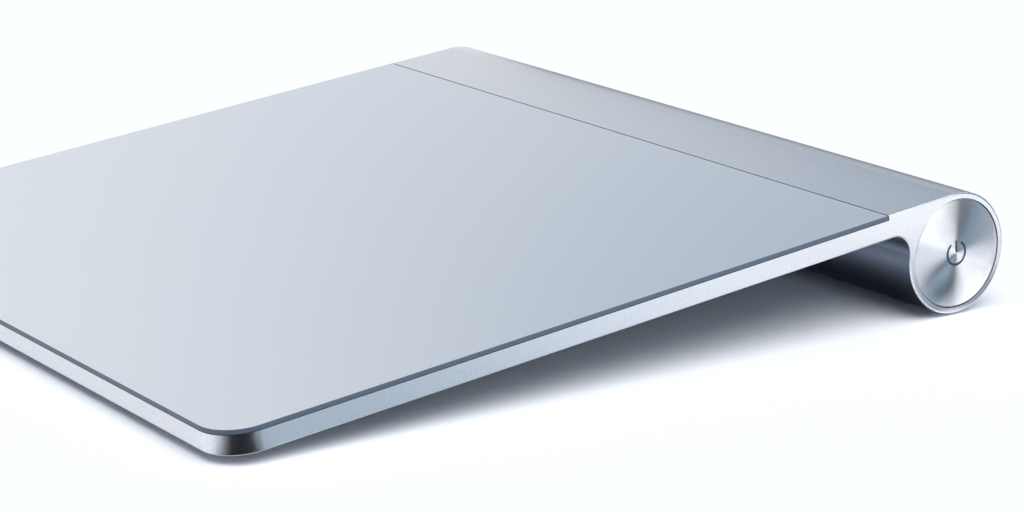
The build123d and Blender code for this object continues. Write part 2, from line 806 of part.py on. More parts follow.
# The spring is a chain of quarter turns that climb a cone, each arc tangent to the last
spring_base_radius = cup_radius - cup_wall - spring_wire_radius - spring_side_gap
spring_start = cup_floor + spring_wire_radius
spring_stop = cells_start - spring_cell_gap - spring_wire_radius
quarters = 4 * spring_turns
coil_points = []
for step in range(quarters + 1):
    share = step / quarters
    coil_radius = spring_base_radius + (spring_tip_radius - spring_base_radius) * share
    turn = step * math.pi / 2
    coil_points.append(
        (
            spring_start + (spring_stop - spring_start) * share,
            tube_y + coil_radius * math.cos(turn),
            tube_z + coil_radius * math.sin(turn),
        )
    )
coil_pitch = (spring_stop - spring_start) / spring_turns
print("least gap between the spring's turns:", round(coil_pitch - 2 * spring_wire_radius, 2))
with BuildPart() as negative_spring:
    with BuildLine() as coil:
        heading = Vector(coil_pitch / (2 * math.pi), 0, spring_base_radius)
        for coil_start, coil_end in zip(coil_points, coil_points[1:]):
            arc = TangentArc(coil_start, coil_end, tangent=heading)
            heading = arc % 1
    with BuildSketch(Plane(origin=coil.line @ 0, z_dir=coil.line % 0)):
        RegularPolygon(spring_wire_radius, spring_wire_sides)
    sweep()
negative_spring.part.label = "negative_spring"
export_step(negative_spring.part, "parts/negative_spring.step")

# Switch carrier: a cup in the bore whose front web guides the button and holds the switch board
with BuildPart() as switch_carrier:
    with BuildSketch(tube.offset(web_back)):
        Circle(carrier_radius)
        Circle(button_boss_radius + boss_hole_gap, mode=Mode.SUBTRACT)
        with PolarLocations(leg_mid_radius, leg_count):
            Rectangle(
                leg_thickness + 2 * leg_slot_gap,
                leg_width + 2 * leg_slot_gap,
                mode=Mode.SUBTRACT,
            )
    extrude(amount=web_thickness)
    with BuildSketch(tube.offset(carrier_back)):
        Circle(carrier_radius)
        Circle(carrier_bore, mode=Mode.SUBTRACT)
    extrude(amount=carrier_length - web_thickness)
    with BuildSketch(tube.offset(power_board_front)):
        with PolarLocations(leg_mid_radius, leg_count, start_angle=180 / leg_count):
            Circle(post_radius)
    extrude(amount=switch_post_height)
    # Notch that lets the power ribbon through the wall
    with BuildSketch(side.offset(flex_left - flex_slot_gap)):
        with Locations((plate_length - power_flex_slope, level_board_under)):
            Rectangle(pocket_setback, flex_notch_height, align=(Align.MAX, Align.CENTER))
    extrude(amount=power_flex_width + 2 * flex_slot_gap, mode=Mode.SUBTRACT)
switch_carrier.part.label = "switch_carrier"
export_step(switch_carrier.part, "parts/switch_carrier.step")

with BuildPart() as power_switch_board:
    with BuildSketch(tube.offset(power_board_back)):
        Circle(carrier_bore - power_board_gap)
    extrude(amount=power_board_thickness)
power_switch_board.part.label = "power_switch_board"
export_step(power_switch_board.part, "parts/power_switch_board.step")

with BuildPart() as power_switch_body:
    with BuildSketch(tube.offset(power_board_front)):
        Rectangle(power_body_width, power_body_width)
    extrude(amount=power_body_height)
    with BuildSketch(tube.offset(power_body_front)):
        Circle(power_plunger_radius + power_plunger_clearance)
    extrude(amount=-power_plunger_hole, mode=Mode.SUBTRACT)
power_switch_body.part.label = "power_switch_body"
export_step(power_switch_body.part, "parts/power_switch_body.step")

with BuildPart() as power_switch_plunger:
    with BuildSketch(tube.offset(plunger_end)):
        Circle(power_plunger_radius)
    extrude(amount=power_plunger_length)
power_switch_plunger.part.label = "power_switch_plunger"
export_step(power_switch_plunger.part, "parts/power_switch_plunger.step")

# Power button: the end disc, a boss on the switch's plunger, and snap legs through the web
boss_end = plunger_end + power_plunger_length
leg_end = web_back - barb_gap - barb_length
with BuildPart() as power_button:
    with BuildSketch(tube.offset(button_back)):
        Circle(cap_radius)
    extrude(amount=cap_thickness)
    chamfer(power_button.faces().sort_by(Axis.X)[-1].edges(), cap_edge_chamfer)
    with BuildSketch(tube.offset(boss_end)):
        Circle(button_boss_radius)
    extrude(amount=button_back - boss_end)
    with BuildSketch(tube.offset(leg_end)):
        with PolarLocations(leg_mid_radius, leg_count):
            Rectangle(leg_thickness, leg_width)
    extrude(amount=button_back - leg_end)
    with BuildSketch(tube.offset(leg_end)):
        with PolarLocations(leg_mid_radius, leg_count):
            Rectangle(leg_thickness / 2 + barb_height, leg_width, align=(Align.MIN, Align.CENTER))
    extrude(amount=barb_length)
power_button.part.label = "power_button"
export_step(power_button.part, "parts/power_button.step")

# Positive contact: a riveted plate in a moulded disc, and the strip to the switch board
contact_face = cells_end + contact_gap + contact_plate_thickness
contact_carrier_end = contact_face + contact_carrier_thickness
with BuildPart() as contact_carrier:
    with BuildSketch(tube.offset(contact_face)):
        Circle(carrier_radius)
        Circle(contact_stud_radius + contact_stud_fit, mode=Mode.SUBTRACT)
    extrude(amount=contact_carrier_thickness)
contact_carrier.part.label = "contact_carrier"
export_step(contact_carrier.part, "parts/contact_carrier.step")

with BuildPart() as positive_contact:
    with BuildSketch(tube.offset(contact_face)):
        Circle(contact_plate_radius)
    extrude(amount=-contact_plate_thickness)
    with BuildSketch(tube.offset(contact_face)):
        Circle(contact_stud_radius)
    extrude(amount=contact_carrier_thickness + contact_stud_extra)
positive_contact.part.label = "positive_contact"
export_step(positive_contact.part, "parts/positive_contact.step")

lead_start = contact_carrier_end + contact_stud_extra
with BuildPart() as battery_lead:
    with BuildSketch(tube.offset(lead_start)):
        Rectangle(lead_width, lead_thickness)
    extrude(amount=power_board_back - lead_start)
battery_lead.part.label = "battery_lead"
export_step(battery_lead.part, "parts/battery_lead.step")

# Power ribbon: from the switch board through the wall slot to the underside of the logic board
level_power_flex = level_board_under - power_flex_thickness / 2
with BuildPart() as power_flex:
    with BuildSketch(side.offset(flex_left)):
        with BuildLine():
            Polyline(
                (board_rear - power_flex_overlap, level_power_flex),
                (plate_length - power_flex_slope - power_flex_thickness, level_power_flex),
                (plate_length - power_flex_thickness, level_power_flex - power_flex_drop),
            )
        trace(line_width=power_flex_thickness)
    extrude(amount=power_flex_width)
power_flex.part.label = "power_flex"
export_step(power_flex.part, "parts/power_flex.step")
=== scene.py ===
"""Wireless desk trackpad: finishes, power mark, stage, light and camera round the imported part.

Lengths are in metres unless a line says millimetres. The frame is the CAD part's: origin on the
desk under the middle of the body, +X to the power button, +Y to the battery tube, +Z up.
"""

import json
import math

import bpy
import numpy as np
from mathutils import Matrix, Vector


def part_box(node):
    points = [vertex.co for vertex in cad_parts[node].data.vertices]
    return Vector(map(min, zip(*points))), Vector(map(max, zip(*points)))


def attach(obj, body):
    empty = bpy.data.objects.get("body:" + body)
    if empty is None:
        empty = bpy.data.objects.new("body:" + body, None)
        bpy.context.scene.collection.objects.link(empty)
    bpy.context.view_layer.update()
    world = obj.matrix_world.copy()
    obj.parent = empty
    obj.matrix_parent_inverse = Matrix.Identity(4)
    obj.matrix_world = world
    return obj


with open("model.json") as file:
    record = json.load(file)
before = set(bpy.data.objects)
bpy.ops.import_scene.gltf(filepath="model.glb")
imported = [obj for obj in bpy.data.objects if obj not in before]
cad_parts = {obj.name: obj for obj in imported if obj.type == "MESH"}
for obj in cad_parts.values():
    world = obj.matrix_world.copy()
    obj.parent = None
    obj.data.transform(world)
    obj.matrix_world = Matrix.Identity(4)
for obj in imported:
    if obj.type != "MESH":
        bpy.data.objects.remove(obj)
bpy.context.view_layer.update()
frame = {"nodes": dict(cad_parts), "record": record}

bl_info = {
    "name": "Wireless trackpad dressing",
    "version": (1, 0, 0),
    "blender": (4, 5, 0),
    "location": "3D View > Sidebar > Trackpad",
    "description": "Finishes, power mark, stage, light and camera for the packed trackpad",
    "category": "Object",
}

MM = 0.001

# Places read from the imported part
BUTTON_LOW, BUTTON_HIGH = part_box("power_button")
BUTTON_FACE = BUTTON_HIGH.x
TUBE_Y = (BUTTON_LOW.y + BUTTON_HIGH.y) / 2
TUBE_Z = (BUTTON_LOW.z + BUTTON_HIGH.z) / 2
TUBE_AXIS = (0.0, TUBE_Y, TUBE_Z)
GLASS_LOW, GLASS_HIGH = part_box("glass_plate")
GLASS_THICKNESS = 0.65 * MM
INCLINE = math.asin((GLASS_HIGH.z - GLASS_LOW.z - GLASS_THICKNESS) / (GLASS_HIGH.y - GLASS_LOW.y))

# Sizes that the finishes follow, in millimetres. A battery cell's ends are bare up to a radius
CELL_LENGTH = 50.5
CELL_BARE_RADIUS = 6.6
THREAD_PITCH = 0.5
TRACK_CELL = 1.6
SENSOR_CELL = 3.2


# Sockets and materials

# Places of a Mix node's colour sockets, which share their names with its other sockets
MIX_A, MIX_B, MIX_RESULT = 6, 7, 2


class Wire:
    """A node's output socket. Python's operators on it add Math nodes to its tree."""

    def __init__(self, shader, socket):
        self.shader = shader
        self.socket = socket

    def _math(self, operation, *values):
        return self.shader.node("ShaderNodeMath", {"operation": operation}, dict(enumerate(values)))

    def __add__(self, other):
        return self._math("ADD", self, other)

    __radd__ = __add__

    def __sub__(self, other):
        return self._math("SUBTRACT", self, other)

    def __rsub__(self, other):
        return self._math("SUBTRACT", other, self)

    def __mul__(self, other):
        return self._math("MULTIPLY", self, other)

    __rmul__ = __mul__

    def __truediv__(self, other):
        return self._math("DIVIDE", self, other)

    def __pow__(self, other):
        return self._math("POWER", self, other)

    def __abs__(self):
        return self._math("ABSOLUTE", self)

    def sine(self):
        return self._math("SINE", self)

    def floor(self):
        return self._math("FLOOR", self)

    def sign(self):
        return self._math("SIGN", self)

    def folded(self, span):
        """Rises from 0 to span and falls back to 0, over and over."""
        return self._math("PINGPONG", self, span)

    def larger(self, other):
        return self._math("MAXIMUM", self, other)

    def angle_to(self, other):
        """Angle of a point with these two coordinates, from the other axis to this one."""
        return self._math("ARCTAN2", self, other)

    def over(self, limit):
        """1 where the value is more than limit, else 0."""
        return self._math("GREATER_THAN", self, limit)

    def step(self, low, high):
        """0 under low, 1 over high and a smooth rise between them."""
        settings = {"interpolation_type": "SMOOTHSTEP"}
        inputs = {"Value": self, "From Min": low, "From Max": high}
        return self.shader.node("ShaderNodeMapRange", settings, inputs)


class Shader:
    """The node tree of a new material, or of a new world."""

    def __init__(self, name, world=False):
        self.owner = (bpy.data.worlds if world else bpy.data.materials).new(name)
        self.owner.use_nodes = True
        self.output = "ShaderNodeOutputWorld" if world else "ShaderNodeOutputMaterial"
        self.tree = self.owner.node_tree
        self.tree.nodes.clear()

    def node(self, kind, settings=None, inputs=None, out=0):
        """Adds a node: its settings first, then the values or links of its sockets. Returns the
        wire of its output out, or a list of wires where out is a tuple of outputs."""
        made = self.tree.nodes.new(kind)
        for key, value in (settings or {}).items():
            setattr(made, key, value)
        for key, value in (inputs or {}).items():
            if isinstance(value, Wire):
                self.tree.links.new(value.socket, made.inputs[key])
            else:
                made.inputs[key].default_value = value
        if isinstance(out, tuple):
            return [Wire(self, made.outputs[each]) for each in out]
        return Wire(self, made.outputs[out])

    def coordinates(self, kind):
        """Texture coordinates of one kind: Object, Normal or UV."""
        return self.node("ShaderNodeTexCoord", out=kind)

    def vector(self, operation, a, b, out="Vector"):
        """A Vector Math node on the vectors a and b."""
        return self.node("ShaderNodeVectorMath", {"operation": operation}, {0: a, 1: b}, out)

    def parts(self, vector):
        """The three numbers of a vector."""
        return self.node("ShaderNodeSeparateXYZ", inputs={"Vector": vector}, out=("X", "Y", "Z"))

    def place(self, centre=(0, 0, 0), turn=(0, 0, 0), scale=(1, 1, 1)):
        """Object coordinates in millimetres round a centre, times scale and turned by turn."""
        moved = self.vector("SUBTRACT", self.coordinates("Object"), centre)
        inputs = {"Vector": moved, "Rotation": turn, "Scale": tuple(s / MM for s in scale)}
        return self.node("ShaderNodeMapping", inputs=inputs)

    def noise(self, at, scale, detail=2.0, rough=0.5):
        """Fractal noise from 0 to 1, with scale features per unit of at."""
        inputs = {"Vector": at, "Scale": scale, "Detail": detail, "Roughness": rough}
        return self.node("ShaderNodeTexNoise", inputs=inputs)

    def blend(self, factor, a, b):
        """Colour a where factor is 0 and colour b where it is 1."""
        inputs = {"Factor": factor, MIX_A: colour(a), MIX_B: colour(b)}
        return self.node("ShaderNodeMix", {"data_type": "RGBA"}, inputs, MIX_RESULT)

    def bump(self, height, depth):
        """Normal over a relief that is depth millimetres high where height is 1."""
        inputs = {"Strength": 1.0, "Distance": depth * MM, "Height": height}
        return self.node("ShaderNodeBump", inputs=inputs)

    def surface(self, shade, shine, metal=0.0, normal=None):
        """Closes the tree with a Principled surface of this colour, roughness and metalness."""
        inputs = {"Base Color": shade, "Metallic": metal, "Roughness": shine}
        if normal is not None:
            inputs["Normal"] = normal
        return self.close(self.node("ShaderNodeBsdfPrincipled", inputs=inputs))

    def close(self, shader):
        """Links the shader to the tree's output and returns the material or world."""
        self.node(self.output, inputs={"Surface": shader}, out=())
        return self.owner


def colour(value):
    """A linear colour as a socket takes it. A wire stays as it is."""
    if isinstance(value, Wire):
        return value
    return (*value, 1.0)


def srgb(r, g, b):
    """Linear colour from 0 to 255 screen values."""
    def linear(v):
        v = v / 255
        return v / 12.92 if v <= 0.04045 else ((v + 0.055) / 1.055) ** 2.4
    return tuple(linear(v) for v in (r, g, b))


def dimmed(tone, share):
    """The tone at a share of its brightness."""
    return tuple(share * c for c in tone)


def add_object(name, data):
    """A new object in the scene that shows the mesh, light or camera data."""
    piece = bpy.data.objects.new(name, data)
    bpy.context.scene.collection.objects.link(piece)
    return piece


def mesh_of(name, points, closed=False):
    """A mesh from a grid of points, shape (rows, columns, 3): one face between each two
    neighbouring rows and columns. A closed one also joins its last column to its first, and has
    one face across its first row and one across its last."""
    rows, columns = points.shape[:2]
    index = np.arange(rows * columns).reshape(rows, columns)
    grid = np.hstack([index, index[:, :1]]) if closed else index
    corners = (grid[:-1, :-1], grid[:-1, 1:], grid[1:, 1:], grid[1:, :-1])
    faces = np.stack([each.ravel() for each in corners], 1).tolist()
    if closed:
        faces.append(index[0, ::-1].tolist())
        faces.append(index[-1].tolist())
    mesh = bpy.data.meshes.new(name)
    mesh.from_pydata(points.reshape(-1, 3).tolist(), [], faces)
    mesh.update()
    return add_object(name, mesh)


def set_finish(slot_name, material):
    """Gives the material to every CAD node whose record slot is slot_name."""
    parts = [part for part in frame["record"]["subparts"] if part["material_slot"] == slot_name]
    if not parts:
        raise RuntimeError(f"no node of the record has the slot {slot_name}")
    for part in parts:
        slots = frame["nodes"][part["node"]].data.materials
        slots.clear()
        slots.append(material)


# Finishes. Their sizes are in millimetres, and a noise's scale is features per millimetre


def blasted_metal(tone, bead):
    """Bead-blasted, clear anodised aluminium: fine pits in shade, depth and shine, at the bead's
    size, and a faint cloud over them."""
    m = Shader("blasted aluminium")
    at = m.place()
    pits = m.noise(at, 1 / bead, detail=3.0, rough=0.6)
    cloud = m.noise(at, scale=0.35)
    shade = m.blend(pits.step(0.3, 0.7), dimmed(tone, 0.88), tone)
    shine = 0.277 + 0.03 * pits + 0.01 * cloud
    return m.surface(shade, shine, metal=1.0, normal=m.bump(pits, depth=0.003))


def touch_glass(tone, edge_tone):
    """Etched glass over a pale metallic coat. Its ground edges, the faces that lean away from
    the plate's own, look into the dark thickness of the glass."""
    m = Shader("etched glass")
    at = m.place()
    upright = (0.0, -math.sin(INCLINE), math.cos(INCLINE))
    facing = m.vector("DOT_PRODUCT", m.coordinates("Normal"), upright, "Value")
    edge = 1 - abs(facing).step(0.75, 0.97)
    etch = m.noise(at, scale=6.0, detail=3.0, rough=0.6)
    haze = m.noise(at, scale=0.05)
    coat = m.blend(haze, dimmed(tone, 0.985), tone)
    shade = m.blend(edge, coat, edge_tone)
    shine = 0.28 + 0.05 * etch + 0.05 * edge
    coat_metal = 0.75
    metal = coat_metal - coat_metal * edge
    return m.surface(shade, shine, metal=metal, normal=m.bump(etch, depth=0.0006))


def spun_metal(tone, pitch, lean):
    """Aluminium disc turned in fine rings round the tube's axis. Each ring has an inner and an
    outer flank. A flank's slope grows from a share of lean to the whole of it, so highlights
    spread along the radius. Faces that aren't square to the axis have no rings."""
    m = Shader("spun aluminium")
    at = m.place(TUBE_AXIS)
    _, y, z = m.parts(at)
    never_zero = 0.001
    radius = (y * y + z * z) ** 0.5 + never_zero
    wave = radius.folded(pitch) * (2 / pitch) - 1
    face = m.coordinates("Normal")
    square = abs(m.parts(face)[0]).over(0.9)
    least = 0.65
    slope = (least * wave.sign() + (1 - least) * wave) * lean * square
    outward = {"X": 0.0, "Y": y / radius * slope, "Z": z / radius * slope}
    leant = m.vector("ADD", face, m.node("ShaderNodeCombineXYZ", inputs=outward))
    settings = {"vector_type": "NORMAL", "convert_from": "OBJECT", "convert_to": "WORLD"}
    normal = m.node("ShaderNodeVectorTransform", settings, {"Vector": leant})
    # Faint streaks run out from the middle: they change fast with the angle, slowly with the radius. In
    # the shade they are painted glints of the turned rings, and in the shine they vary the roughness
    around = m.node("ShaderNodeCombineXYZ", inputs={"X": y.angle_to(z) * 9.0, "Y": radius * 0.05})
    glint_and_shine_streak = m.noise(around, scale=3.0, detail=4.0)
    shade = m.blend(glint_and_shine_streak, dimmed(tone, 0.9), tone)
    shine = 0.15 + 0.04 * glint_and_shine_streak
    return m.surface(shade, shine, metal=1.0, normal=normal)


def moulded(name, tone, size, rough, spread=0.08, depth=0.003):
    """Moulded, foamed or cast surface: an even texture of the given size in shade, shine and
    depth. Its shade varies by the share spread."""
    m = Shader(name)
    at = m.place()
    texture = m.noise(at, 1 / size, detail=3.0, rough=0.6)
    cloud = m.noise(at, scale=0.2)
    shade = m.blend(texture * 0.7 + cloud * 0.3, dimmed(tone, 1 - spread), tone)
    shine = rough + 0.12 * (texture - 0.5)
    return m.surface(shade, shine, normal=m.bump(texture, depth))


def rolled(name, tone, rough, lay=(0.15, 6.0, 6.0)):
    """Rolled or plated sheet metal: fine lines, with lay of them per millimetre along x, y, z."""
    m = Shader(name)
    lines = m.noise(m.place(scale=lay), scale=1.0, detail=4.0, rough=0.6)
    shade = m.blend(lines, dimmed(tone, 0.86), tone)
    shine = rough + 0.14 * lines
    return m.surface(shade, shine, metal=1.0, normal=m.bump(lines, depth=0.001))


def sensing_strips(m, at, cell):
    """Strips along the borders of square cells, and a plated dot in the middle of each cell.
    A cell is measured from its middle, where across and along are 0, to its border at 0.5."""
    x, y, _ = m.parts(at)
    across = abs((x / cell).floor() + 0.5 - x / cell)
    along = abs((y / cell).floor() + 0.5 - y / cell)
    border = 0.44
    track = across.over(border) + along.over(border) - across.over(border) * along.over(border)
    middle = (1 - across * 2) * (1 - along * 2)
    return track, middle.over(0.93)


def board_tracks(m, at, cell):
    """Tracks along the joints of a brick pattern, and plated holes scattered over them."""
    settings = {"offset": 0.5, "squash": 1.6, "squash_frequency": 3}
    joints = {"Mortar Size": 0.06, "Mortar Smooth": 0.0, "Brick Width": 2.2, "Row Height": 0.55}
    inputs = {"Vector": at, "Scale": 1 / cell, **joints}
    track = m.node("ShaderNodeTexBrick", settings, inputs, "Fac")
    inputs = {"Vector": at, "Scale": 0.5 / cell}
    spots = m.node("ShaderNodeTexVoronoi", {"feature": "F1"}, inputs, "Distance")
    return track, 1 - spots.step(0.10, 0.13)


def circuit_board(name, mask_tone, track_tone, pattern, cell, turn=0.0):
    """Solder mask over raised tracks and plated holes, which pattern draws in cells of the given
    size, turned by turn."""
    m = Shader(name)
    at = m.place(turn=(0, 0, turn))
    weave = m.noise(at, scale=4.0, detail=3.0)
    track, plated = pattern(m, at, cell)
    lit = m.blend(track * 0.55, mask_tone, track_tone)
    shade = m.blend(plated, lit, srgb(214, 178, 110))
    shine = 0.38 + 0.10 * weave - 0.10 * track
    return m.surface(shade, shine, metal=plated, normal=m.bump(track, depth=0.01))


def ribbon_film(tone):
    """Amber film over parallel copper lines, a sine along x."""
    m = Shader("amber ribbon")
    x, _, _ = m.parts(m.place())
    radians_per_mm = 9.0
    lines = (x * radians_per_mm).sine().step(-0.2, 0.4)
    shade = m.blend(lines, dimmed(tone, 0.62), tone)
    shine = 0.28 + 0.08 * lines
    return m.surface(shade, shine, normal=m.bump(lines, depth=0.01))


def cell_jacket(tone, band_tone):
    """Plain foil jacket with a pale band round one end of each cell, and bare metal ends. The
    band is the crest of a sine that is one cell long."""
    m = Shader("battery foil")
    x, y, z = m.parts(m.place(TUBE_AXIS))
    jacket = ((y * y + z * z) ** 0.5).over(CELL_BARE_RADIUS)
    crinkle = m.noise(m.place(scale=(0.3, 4.0, 4.0)), scale=1.0, detail=3.0)
    band = (x * (2 * math.pi / CELL_LENGTH) + 0.4).sine().over(0.55)
    foil = m.blend(band, tone, band_tone)
    shade = m.blend(jacket, srgb(205, 206, 204), foil)
    shine = 0.26 + 0.12 * crinkle
    return m.surface(shade, shine, metal=1 - jacket * 0.6)


def turned_thread(tone, pitch):
    """Turned aluminium with a fine thread: ridges along the tube's axis that climb as they turn. The
    grooves between the ridges carry painted shade.
    """
    m = Shader("turned thread")
    x, y, z = m.parts(m.place(TUBE_AXIS))
    climb = (x * (2 * math.pi / pitch) + y.angle_to(z)).sine()
    # Painted shade: the colour dims to 0.7 of the tone in the grooves, where climb is low
    shade = m.blend(climb.step(-1.0, 1.0), dimmed(tone, 0.7), tone)
    shine = 0.30 + 0.05 * climb
    return m.surface(shade, shine, metal=1.0, normal=m.bump(climb, depth=0.06))


def mark_lacquer():
    """Dark lacquer of the power mark, with a fine grain."""
    m = Shader("mark lacquer")
    grain = m.noise(m.place(), scale=12.0)
    shade = m.blend(grain, srgb(38, 44, 54), srgb(52, 60, 72))
    return m.surface(shade, 0.42 + 0.1 * grain)


# Power mark

RING_POINTS = 121
BAR_POINTS = 9


def strip_along(path, across, up, width, height, corner):
    """Points of a strip carried along a path: at each path point the section is a rectangle of
    width by height with cut upper corners, laid out along across and up."""
    half = width / 2
    section = np.array([
        (-half, 0), (-half, height - corner), (-half + corner, height),
        (half - corner, height), (half, height - corner), (half, 0),
    ])
    return path[:, None, :] + section[None, :, :1] * across[:, None, :] + section[None, :, 1:] * up


def mark_strip(name, angles, radii, settings):
    """One line of the mark on the button's face. It follows the points at the given angles from
    the top and the given radii round the tube's axis, and its section stands along +X."""
    centre = np.array(Vector((BUTTON_FACE, TUBE_Y, TUBE_Z)))
    path = np.stack([np.zeros_like(angles), radii * np.sin(angles), radii * np.cos(angles)], 1)
    ahead = np.gradient(path, axis=0)
    ahead /= np.linalg.norm(ahead, axis=1, keepdims=True)
    up = np.array((1.0, 0.0, 0.0))
    across = np.cross(ahead, up)
    foot = path + centre - up * settings.mark_sink
    height = settings.mark_sink + settings.mark_rise
    points = strip_along(foot, across, up, settings.mark_line, height, settings.mark_rise)
    piece = mesh_of(name, points, closed=True)
    piece.data.materials.append(mark_lacquer())
    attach(piece, "power_button")


# Settings


def length(label, text, millimetres):
    """A length in metres whose default is given in millimetres."""
    return bpy.props.FloatProperty(
        name=label, description=text, default=millimetres * MM, min=0.0, max=1.0,
        subtype="DISTANCE", unit="LENGTH", precision=5,
    )


def angle(label, text, degrees):
    """An angle in radians whose default is given in degrees."""
    return bpy.props.FloatProperty(
        name=label, description=text, default=math.radians(degrees), subtype="ANGLE"
    )


def tint(label, text, default):
    """A linear colour."""
    return bpy.props.FloatVectorProperty(
        name=label, description=text, default=default, size=3, min=0.0, max=2.0, subtype="COLOR"
    )


def amount(label, text, default):
    """A plain number from 0 to 10."""
    return bpy.props.FloatProperty(name=label, description=text, default=default, min=0.0, max=10.0)


class TrackpadFinishes(bpy.types.PropertyGroup):
    """Colours and sizes of the finishes and the power mark."""

    metal: tint("Aluminium", "Colour of the anodised and spun aluminium", srgb(232, 234, 238))
    glass: tint("Touch glass", "Colour of the coat under the glass", srgb(218, 224, 231))
    glass_edge: tint("Glass edge", "Colour seen in the ground edge of the glass", srgb(93, 107, 123))
    cover: tint("Bottom cover", "Colour of the moulded bottom cover", srgb(180, 184, 188))
    rubber: tint("Rubber feet", "Colour of the four rubber feet", srgb(150, 153, 157))
    bead: length("Bead size", "Size of the pits that the blasting leaves", 0.28)
    ring_pitch: length("Ring pitch", "Distance between the turned rings", 0.02)
    ring_lean: amount("Ring lean", "Greatest slope of a turned ring", 0.42)
    mark_radius: length("Mark radius", "Outer radius of the power mark", 1.90)
    mark_line: length("Mark line", "Width of the mark's lines", 0.36)
    mark_sink: length("Mark depth", "How far the lacquer reaches into the face", 0.04)
    mark_rise: length("Mark rise", "How far the lacquer stands over the face", 0.01)
    mark_gap: angle("Mark gap", "Half the opening at the top of the ring", 34)
    mark_turn: angle("Mark turn", "How far the button is turned from upright", -5)


class TrackpadStage(bpy.types.PropertyGroup):
    """Table top and light."""

    fill: amount("Fill light", "Strength of the light from all round", 0.26)
    fill_tone: tint("Fill tone", "Colour of the light from all round", (0.79, 0.95, 1.18))
    key: amount("Key light", "Strength of the soft light from above", 2.3)
    floor: tint("Floor", "Colour of the table top", srgb(239, 240, 242))
    floor_lift: amount("Floor lift", "How much lighter the camera sees the table top", 1.32)


# Steps that dress the part

# Finishes of what is inside. Moulded: record slot, material name, tone, size of the texture,
# roughness, and where they differ from the usual, spread and depth. Rolled: record slot,
# material name, tone, roughness and lines per millimetre along x, y, z
INNER_MOULDINGS = (
    ("bond_tape", "foam tape", srgb(38, 40, 44), 0.12, 0.85, 0.2, 0.01),
    ("chip_resin", "chip resin", srgb(30, 30, 33), 0.08, 0.55),
    ("socket_plastic", "socket plastic", srgb(226, 220, 200), 0.1, 0.4),
    ("switch_plastic", "switch plastic", srgb(28, 29, 31), 0.1, 0.38),
    ("plunger_plastic", "plunger plastic", srgb(230, 228, 222), 0.1, 0.4),
    ("liner_plastic", "liner plastic", srgb(44, 45, 48), 0.2, 0.5),
    ("gasket_rubber", "gasket rubber", srgb(24, 24, 26), 0.15, 0.7, 0.15, 0.01),
)
INNER_SHEETS = (
    ("shield_can", "tinned can", srgb(206, 208, 210), 0.3, (0.3, 3, 3)),
    ("copper_strip", "plated copper", srgb(208, 148, 104), 0.3, (0.5, 4, 4)),
    ("contact_metal", "nickel plate", srgb(206, 203, 196), 0.2, (1, 5, 5)),
)


class TRACKPAD_OT_metal(bpy.types.Operator):
    """Gives the housing its blasted finish, the caps their turned rings and the insert its thread"""

    bl_idname = "trackpad.metal"
    bl_label = "Metal finishes"

    def execute(self, context):
        s = context.scene.trackpad_finishes
        set_finish("anodised_body", blasted_metal(s.metal, s.bead / MM))
        set_finish("spun_metal", spun_metal(s.metal, s.ring_pitch / MM, s.ring_lean))
        set_finish("thread_metal", turned_thread(s.metal, THREAD_PITCH))
        return {"FINISHED"}


class TRACKPAD_OT_glass(bpy.types.Operator):
    """Gives the touch surface its etched glass finish"""

    bl_idname = "trackpad.glass"
    bl_label = "Touch glass"

    def execute(self, context):
        s = context.scene.trackpad_finishes
        set_finish("touch_glass", touch_glass(s.glass, s.glass_edge))
        return {"FINISHED"}


class TRACKPAD_OT_underside(bpy.types.Operator):
    """Finishes the bottom cover, the feet, the click lever and the screws"""

    bl_idname = "trackpad.underside"
    bl_label = "Underside"

    def execute(self, context):
        s = context.scene.trackpad_finishes
        cover = moulded("moulded cover", s.cover, size=0.25, rough=0.46)
        foot = moulded("moulded foot", srgb(214, 216, 218), size=0.2, rough=0.42)
        rubber = moulded("grey rubber", s.rubber, size=0.15, rough=0.72, spread=0.12, depth=0.01)
        steel = rolled("rolled steel", srgb(188, 190, 193), rough=0.26)
        screws = rolled("plated screws", srgb(170, 172, 176), rough=0.24, lay=(3, 3, 3))
        set_finish("cover_plastic", cover)
        set_finish("foot_plastic", foot)
        set_finish("foot_rubber", rubber)
        set_finish("lever_sheet", steel)
        set_finish("screw_steel", screws)
        return {"FINISHED"}


class TRACKPAD_OT_inside(bpy.types.Operator):
    """Finishes the boards, switches, cells and contacts inside"""

    bl_idname = "trackpad.inside"
    bl_label = "Inner parts"

    def execute(self, context):
        green, light_green = srgb(18, 82, 52), srgb(44, 122, 78)
        board = circuit_board("logic board mask", green, light_green, board_tracks, TRACK_CELL)
        blue, light_blue, diagonal = srgb(20, 46, 72), srgb(62, 98, 122), math.radians(45)
        sensor = circuit_board(
            "sensing board mask", blue, light_blue, sensing_strips, SENSOR_CELL, diagonal
        )
        set_finish("circuit_board", board)
        set_finish("sensor_board", sensor)
        set_finish("ribbon_film", ribbon_film(srgb(198, 124, 42)))
        set_finish("cell_jacket", cell_jacket(srgb(66, 76, 90), srgb(196, 200, 204)))
        for slot_name, *finish in INNER_MOULDINGS:
            set_finish(slot_name, moulded(*finish))
        for slot_name, *finish in INNER_SHEETS:
            set_finish(slot_name, rolled(*finish))
        return {"FINISHED"}


class TRACKPAD_OT_mark(bpy.types.Operator):
    """Adds the power mark to the button's face: an open ring and a bar"""

    bl_idname = "trackpad.mark"
    bl_label = "Power mark"

    def execute(self, context):
        s = context.scene.trackpad_finishes
        middle = s.mark_radius - s.mark_line / 2
        sweep = np.linspace(s.mark_gap, 2 * math.pi - s.mark_gap, RING_POINTS) + s.mark_turn
        mark_strip("power_mark_ring", sweep, np.full(sweep.shape, middle), s)
        reach = np.linspace(s.mark_line / 2, s.mark_radius, BAR_POINTS)
        mark_strip("power_mark_bar", np.full(reach.shape, s.mark_turn), reach, s)
        return {"FINISHED"}


# Stage

